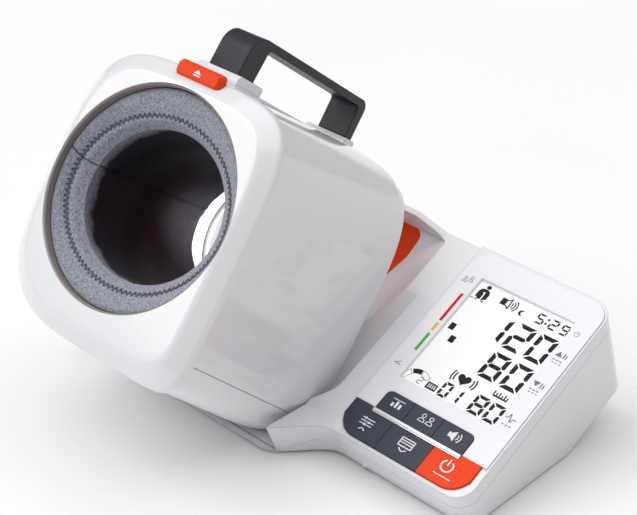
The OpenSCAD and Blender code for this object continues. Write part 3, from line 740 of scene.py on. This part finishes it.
def seam_point(a):
    return in_tunnel(SEAM_T, a, liner_radius(SEAM_T, a) - 0.3)


# zigzag around the ring, then the seam across the ring and down the liner
COUNT = 104
SWING = 1.9
THREAD_R = 0.00023
SEAM_R = 0.00034
ON_KNIT = 0.1
IN_GROOVE = -0.45
zigzag = []
for i in range(COUNT):
    t0, t1, t2 = (2 * math.pi * (i + f) / COUNT for f in (0.02, 0.5, 0.98))
    out = near_stitches(t1, SWING)
    zigzag.append((thread_point(t0, near_stitches(t0, -SWING), ON_KNIT), thread_point(t1, out, ON_KNIT)))
    zigzag.append((thread_point(t1 + 0.002, out, ON_KNIT), thread_point(t2, near_stitches(t2, -SWING), ON_KNIT)))
stitches("ring_stitching", zigzag, THREAD_R)
seam_line = [(thread_point(SEAM_T, f, IN_GROOVE), thread_point(SEAM_T, f + 0.048, IN_GROOVE))
             for f in np.arange(0.02, 0.93, 0.05)]
seam_line += [(seam_point(a), seam_point(a + 2.95)) for a in np.arange(14.0, 146.0, 3.0)]
stitches("ring_seam_thread", seam_line, SEAM_R)

# ---------------------------------------------------------------- printing on the panel


def circle(u, v, r, degrees):
    return [(u + r * math.cos(s), v + r * math.sin(s)) for s in map(math.radians, degrees)]


class Print:
    """Flat figures in panel coordinates, each as thin as ink."""

    def __init__(self):
        self.shapes = []

    def poly(self, points):
        self.shapes.append(points)

    def bar(self, u0, v0, u1, v1):
        self.poly([(u0, v0), (u1, v0), (u1, v1), (u0, v1)])

    def line(self, p, q, width):
        d = Vector((q[0] - p[0], q[1] - p[1])).normalized() * width / 2
        self.poly([(p[0] + d.y, p[1] - d.x), (q[0] + d.y, q[1] - d.x),
                   (q[0] - d.y, q[1] + d.x), (p[0] - d.y, p[1] + d.x)])

    def arc(self, u, v, r0, r1, t0, t1, n=18):
        s = [t0 + (t1 - t0) * i / n for i in range(n + 1)]
        self.poly(circle(u, v, r1, s) + circle(u, v, r0, s[::-1]))

    def disc(self, u, v, r, n=24):
        self.poly(circle(u, v, r, [360 * i / n for i in range(n)]))

    def digit(self, which, u, v, w, h, t):
        """Seven segment figure with a slight slant: w wide, h high, in strokes t wide."""
        slant = 0.055
        g = t * 0.10
        m = h / 2

        def seg_h(y0, y1, narrow):
            a, b = g + 0.15 * t, w - g - 0.15 * t
            low, high = (t if side else 0 for side in narrow)
            return [(a + low, y0), (b - low, y0), (b - high, y1), (a + high, y1)]

        top = seg_h(h - t, h, (True, False))
        bottom = seg_h(0, t, (False, True))
        middle = [(g + t * 0.55, m), (g + t, m + t / 2), (w - g - t, m + t / 2), (w - g - t * 0.55, m),
                  (w - g - t, m - t / 2), (g + t, m - t / 2)]
        lower_l = [(0, g + 0.25 * t), (t, g + t), (t, m - t / 2 - g), (t * 0.45, m - g), (0, m - t * 0.35 - g)]
        upper_l = [(0, h - g - 0.25 * t), (t, h - g - t), (t, m + t / 2 + g), (t * 0.45, m + g), (0, m + t * 0.35 + g)]
        lower_r = [(w - x, y) for x, y in lower_l]
        upper_r = [(w - x, y) for x, y in upper_l]
        parts = {"a": top, "b": upper_r, "c": lower_r, "d": bottom, "e": lower_l, "f": upper_l, "g": middle}
        lit = {"0": "abcdef", "1": "bc", "2": "abged", "5": "afgcd", "8": "abcdefg", "9": "abcdfg"}[which]
        for key in lit:
            self.poly([(u + x + slant * y, v + y) for x, y in parts[key]])

    def build(self, name, w, body, material, slot, thick=0.05):
        obj = prisms(name, [([on_panel(u, v, w) for u, v in points], [on_panel(u, v, w + thick) for u, v in points])
                            for points in self.shapes])
        return finish_piece(obj, body, slot, material)


GLASS_TOP = -1.345   # the display glass
MARKS_TOP = -1.305   # on the figures printed on it
PLATE_TOP = 1.0      # the face plate
KEY_TOP = 1.8        # the keys

lcd = Print()
for which, u in (("1", 27.3), ("2", 46.6), ("0", 65.8)):
    lcd.digit(which, u, 60.0, 15.8, 25.0, 3.6)
for which, u in (("8", 45.6), ("0", 65.0)):
    lcd.digit(which, u, 30.8, 15.8, 24.0, 3.6)
for which, u in (("8", 57.2), ("0", 70.8)):
    lcd.digit(which, u, 1.6, 11.4, 16.8, 2.7)
for which, u in (("0", 30.6), ("1", 40.0)):
    lcd.digit(which, u, 1.8, 8.2, 13.4, 2.2)
for which, u in (("5", 55.0), ("2", 66.6), ("9", 76.2)):
    lcd.digit(which, u, 90.2, 7.0, 9.6, 1.6)
lcd.disc(64.3, 93.2, 1.0)
lcd.disc(64.7, 97.2, 1.0)
# heart and its pulse marks
heart = [(16 * math.sin(s) ** 3, 13 * math.cos(s) - 5 * math.cos(2 * s) - 2 * math.cos(3 * s) - math.cos(4 * s))
         for s in np.linspace(0, 2 * math.pi, 48, endpoint=False)]
HEART_SCALE = 0.34
lcd.poly([(41.6 + x * HEART_SCALE, 22.4 + y * HEART_SCALE) for x, y in heart])
for side in (-1, 1):
    for r in (8.0, 10.3):
        lcd.arc(41.6, 22.2, r - 0.6, r + 0.6, 90 - side * 90 - 26, 90 - side * 90 + 26)
# squares that point at the colour bar
lcd.bar(3.2, 54.0, 7.9, 60.2)
lcd.bar(9.9, 44.2, 14.6, 50.4)
# user figure
lcd.disc(9.0, 99.9, 1.9)
lcd.poly([(3.4, 88.6), (3.4, 94.2), (4.6, 96.8), (6.6, 97.6), (9.8, 97.6), (11.8, 96.8), (13.0, 94.2), (13.0, 88.6),
          (11.2, 88.6), (11.2, 87.4), (9.4, 87.4), (9.4, 92.0), (9.2, 95.2), (7.4, 94.2), (7.4, 93.4), (8.4, 93.6),
          (8.4, 87.4), (5.2, 87.4), (5.2, 88.6)])
# loudspeaker
lcd.bar(23.6, 91.8, 28.2, 98.0)
lcd.line((28.4, 93.0), (31.6, 90.4), 1.0)
lcd.line((28.4, 96.8), (31.6, 99.4), 1.0)
lcd.line((31.4, 89.8), (31.4, 100.0), 1.0)
for r in (2.6, 4.6, 6.6):
    lcd.arc(30.6, 94.9, r, r + 1.0, -42, 42)
# small crescent for the half of the day
lcd.poly(circle(43.6, 92.4, 2.7, np.linspace(60, 300, 20)) + circle(45.1, 92.4, 2.2, np.linspace(285, 75, 18)))
# memory block
lcd.poly([(20.4, 2.6), (28.4, 2.6), (28.9, 3.1), (28.9, 8.1), (28.4, 8.6), (20.4, 8.6), (19.9, 8.1), (19.9, 3.1)])
# pressure unit, as a small column with ticks
lcd.bar(66.6, 22.0, 79.0, 23.4)
for i in range(6):
    lcd.bar(66.6 + i * 2.28, 23.4, 67.7 + i * 2.28, 27.0 if i % 2 == 0 else 25.6)
# angle gauge
lcd.arc(11.0, 1.4, 8.4, 12.6, 88, 128)
lcd.build("lcd_figures", GLASS_TOP, "base", INK, "black_plastic", 0.04)
thin = Print()
for t0, t1 in ((134, 178), (44, 84)):
    thin.arc(11.0, 1.4, 8.2, 8.6, t0, t1)
    thin.arc(11.0, 1.4, 12.4, 12.8, t0, t1)
    for t in (t0, t1):
        c, s = math.cos(math.radians(t)), math.sin(math.radians(t))
        thin.line((11 + 8.2 * c, 1.4 + 8.2 * s), (11 + 12.8 * c, 1.4 + 12.8 * s), 0.4)
thin.digit("2", 11.8, 2.6, 4.0, 6.0, 0.7)
thin.bar(0.8, 86.0, 3.2, 87.0)
thin.bar(4.2, 86.0, 6.4, 87.0)
thin.bar(9.6, 86.0, 12.4, 87.0)
thin.build("lcd_fine_lines", GLASS_TOP, "base", GREY_INK, "black_plastic", 0.03)
light = Print()
for i in range(4):
    light.bar(21.4 + i * 1.8, 3.9, 22.4 + i * 1.8, 7.4)
light.build("memory_block_marks", MARKS_TOP, "base", WHITE_INK, "white_shell", 0.02)

# colour bar beside the display
for name, v0, v1, ink in (("scale_red", 55.6, 84.2, RED_INK), ("scale_yellow", 45.2, 53.0, YELLOW_INK),
                          ("scale_green", 24.6, 42.2, GREEN_INK)):
    strip = Print()
    strip.bar(-5.6, v0, -3.2, v1)
    strip.build(name, PLATE_TOP, "base", ink, "orange_trim")


def person(p, u, v, k, width):
    """Outline of a head and shoulders."""
    p.arc(u, v + 1.9 * k, 0.75 * k, 0.75 * k + width, 0, 360)
    p.arc(u, v - 1.2 * k, 1.75 * k - width, 1.75 * k, 0, 180)
    p.bar(u - 1.75 * k, v - 1.2 * k - width, u + 1.75 * k, v - 1.2 * k)


grey = Print()
person(grey, -10.8, 96.0, 1.15, 0.5)
person(grey, -6.2, 98.0, 1.15, 0.5)
# angle label: a small wedge
grey.line((-11.6, 8.2), (-5.4, 8.2), 0.5)
grey.line((-11.6, 8.2), (-6.6, 11.6), 0.5)
grey.arc(-11.6, 8.2, 3.4, 3.8, 0, 34)
# clock label
grey.arc(90.4, 95.4, 1.9, 2.3, 0, 360)
grey.line((90.4, 95.4), (90.4, 96.9), 0.4)
grey.line((90.4, 95.4), (91.5, 95.4), 0.4)
# upper and lower reading labels: an arrow, bars and their lines
for v, up in ((74.6, 1), (45.2, -1)):
    grey.poly([(86.6, v - 2.2 * up), (92.2, v - 2.2 * up), (89.4, v + 2.6 * up)])
    grey.bar(93.0, v - 2.4, 94.0, v + 2.4)
    grey.bar(94.9, v - 2.4, 95.9, v + 1.2)
    for i in range(3):
        grey.bar(87.0 + 2.9 * i, v - 6.0, 89.0 + 2.9 * i, v - 5.1)
        grey.bar(87.8 + 2.9 * i, v - 8.4, 89.4 + 2.9 * i, v - 7.6)
# pulse label
pulse = [(86.2, 11.6), (88.2, 11.6), (89.6, 15.2), (91.2, 8.2), (92.6, 11.6), (95.4, 11.6)]
for p, q in zip(pulse, pulse[1:]):
    grey.line(p, q, 0.8)
for i in range(3):
    grey.bar(87.0 + 2.9 * i, 5.0, 89.0 + 2.9 * i, 5.8)
grey.build("panel_labels", PLATE_TOP, "base", GREY_INK, "black_plastic")


def key_mark(key):
    """Print the collected figures on a key, and start the next mark."""
    mark.build(key + "_mark", KEY_TOP, key, WHITE_INK, "white_shell")
    mark.shapes = []


mark = Print()
# sliders over an upward chevron
for i, knob in enumerate((2.6, 7.0, 4.6)):
    v = -41.6 - 2.5 * i
    mark.bar(-1.2, v - 0.35, 9.6, v + 0.35)
    mark.disc(-1.2 + knob, v, 1.05)
mark.line((1.6, -51.6), (4.2, -49.8), 0.8)
mark.line((6.8, -51.6), (4.2, -49.8), 0.8)
key_mark("set_key")
# stack of records over a downward chevron
for v in (-40.2, -42.2, -44.2):
    mark.bar(34.2, v - 0.4, 45.8, v + 0.4)
mark.bar(34.0, -47.0, 34.9, -39.8)
mark.bar(45.1, -47.0, 46.0, -39.8)
mark.bar(34.0, -47.4, 46.0, -46.5)
mark.line((36.8, -49.0), (40.0, -51.0), 0.8)
mark.line((43.2, -49.0), (40.0, -51.0), 0.8)
key_mark("memory_key")
# power ring over a line
mark.arc(75.6, -43.4, 4.0, 5.1, 122, 418, 36)
mark.bar(75.05, -43.0, 76.15, -37.4)
mark.bar(69.4, -52.2, 84.0, -51.6)
key_mark("power_key")
# columns under their average
for i, h in enumerate((3.2, 5.6, 4.2)):
    mark.bar(9.6 + 3.2 * i, -24.2, 11.5 + 3.2 * i, -24.2 + h)
mark.bar(8.6, -17.8, 19.0, -17.2)
key_mark("average_key")
person(mark, 36.9, -21.4, 1.6, 0.55)
person(mark, 43.6, -21.4, 1.6, 0.55)
key_mark("user_key")
# loudspeaker
mark.bar(60.4, -23.0, 62.6, -19.2)
mark.poly([(62.8, -23.0), (66.2, -25.4), (66.2, -16.8), (62.8, -19.2)])
mark.arc(65.6, -21.1, 2.6, 3.4, -45, 45)
mark.arc(65.6, -21.1, 4.8, 5.6, -45, 45)
key_mark("voice_key")


def flat_top(obj, facing):
    """Centre and normal of the object's largest flat face that looks roughly the given way."""
    best = max((p for p in obj.data.polygons if p.normal.dot(facing) > 0.6), key=lambda p: p.area)
    group = [p for p in obj.data.polygons if p.normal.dot(best.normal) > 0.999]
    total = sum(p.area for p in group)
    centre = sum((p.center * p.area for p in group), Vector()) / total
    return obj.matrix_world @ centre, (obj.matrix_world.to_3x3() @ best.normal).normalized()


def button_mark():
    """A raised release sign, a triangle over a bar, on the top of the button."""
    centre, normal = flat_top(nodes["open_button"], (DRUM_B - DRUM_A).normalized())
    along = Vector((1, 0, 0))
    across = normal.cross(along).normalized()

    def loop(points, lift):
        return [centre + (along * x + across * y + normal * lift) * MM for x, y in points]

    triangle = ((-3.2, -0.5), (3.2, -0.5), (0.0, 2.3))
    bar = ((-3.2, -2.2), (3.2, -2.2), (3.2, -1.3), (-3.2, -1.3))
    obj = prisms("button_mark", [(loop(points, -0.1), loop(points, 0.08)) for points in (triangle, bar)])
    return finish_piece(obj, "release", "white_shell", WHITE_INK)


button_mark()

# ---------------------------------------------------------------- floor, light, camera


def floor_material():
    mat, tree, shader, place = start("studio_floor")
    pale = two_tone(tree, place, (0.90, 0.90, 0.905), (0.915, 0.915, 0.92), 2.0)
    tree.links.new(pale, shader.inputs["Base Color"])
    shader.inputs["Roughness"].default_value = 0.8
    shader.inputs["Specular IOR Level"].default_value = 0.1
    return mat


FLOOR = 6.0
FLOOR_Z = -0.0005
corners = [(-FLOOR, -FLOOR, FLOOR_Z), (FLOOR, -FLOOR, FLOOR_Z), (FLOOR, FLOOR, FLOOR_Z), (-FLOOR, FLOOR, FLOOR_Z)]
floor = new_object("studio_floor", corners, [(0, 1, 2, 3)], smooth=False)
floor.data.materials.append(floor_material())

world = bpy.data.worlds.new("studio")
bpy.context.scene.world = world
world.use_nodes = True
sky = world.node_tree.nodes["Background"].inputs
sky["Color"].default_value = (1, 1, 1, 1)
sky["Strength"].default_value = 0.30


def soft_sun(name, towards, strength, spread_angle):
    """Even studio light from one direction, as soft as a wide panel."""
    data = bpy.data.lights.new(name, "SUN")
    data.energy = strength
    data.angle = math.radians(spread_angle)
    obj = in_scene(name, data)
    obj.rotation_euler = Vector(towards).to_track_quat("Z", "Y").to_euler()


def area_light(name, at, look_at, size, energy, beam):
    """Small lamp that the camera doesn't see."""
    data = bpy.data.lights.new(name, "AREA")
    data.shape = "RECTANGLE"
    data.size, data.size_y = size
    data.energy = energy
    data.spread = math.radians(beam)
    obj = in_scene(name, data)
    obj.location = at
    obj.rotation_euler = (look_at - at).to_track_quat("-Z", "Y").to_euler()
    obj.visible_camera = False


soft_sun("key_light", (-0.45, -0.55, 0.70), 1.50, 50)
soft_sun("top_light", (0.0, 0.12, 1.0), 1.42, 70)
# brightens the pale inner tube behind the liner
area_light("tunnel_light", on_drum(40, 164, 0), on_drum(-60, 160, -8), (0.03, 0.02), 0.035, 60)

AZIMUTH, ELEVATION, ROLL = 38.41, 29.46, 5.52
CAMERA_AT = (0.60562, -0.76024, 0.67955)
LENS = 86.74
az, el, roll = (math.radians(d) for d in (AZIMUTH, ELEVATION, ROLL))
back = Vector((math.sin(az) * math.cos(el), -math.cos(az) * math.cos(el), math.sin(el)))
right = Vector((math.cos(az), math.sin(az), 0))
up = back.cross(right)
side = right * math.cos(roll) + up * math.sin(roll)
top = -right * math.sin(roll) + up * math.cos(roll)
view = bpy.data.cameras.new("camera")
view.lens = LENS
view.sensor_width = 36
view.clip_end = 50
camera = in_scene("camera", view)
camera.matrix_world = Matrix([(side[i], top[i], back[i], CAMERA_AT[i]) for i in range(3)] + [(0, 0, 0, 1)])
bpy.context.scene.camera = camera
bpy.context.scene.view_settings.view_transform = "Standard"
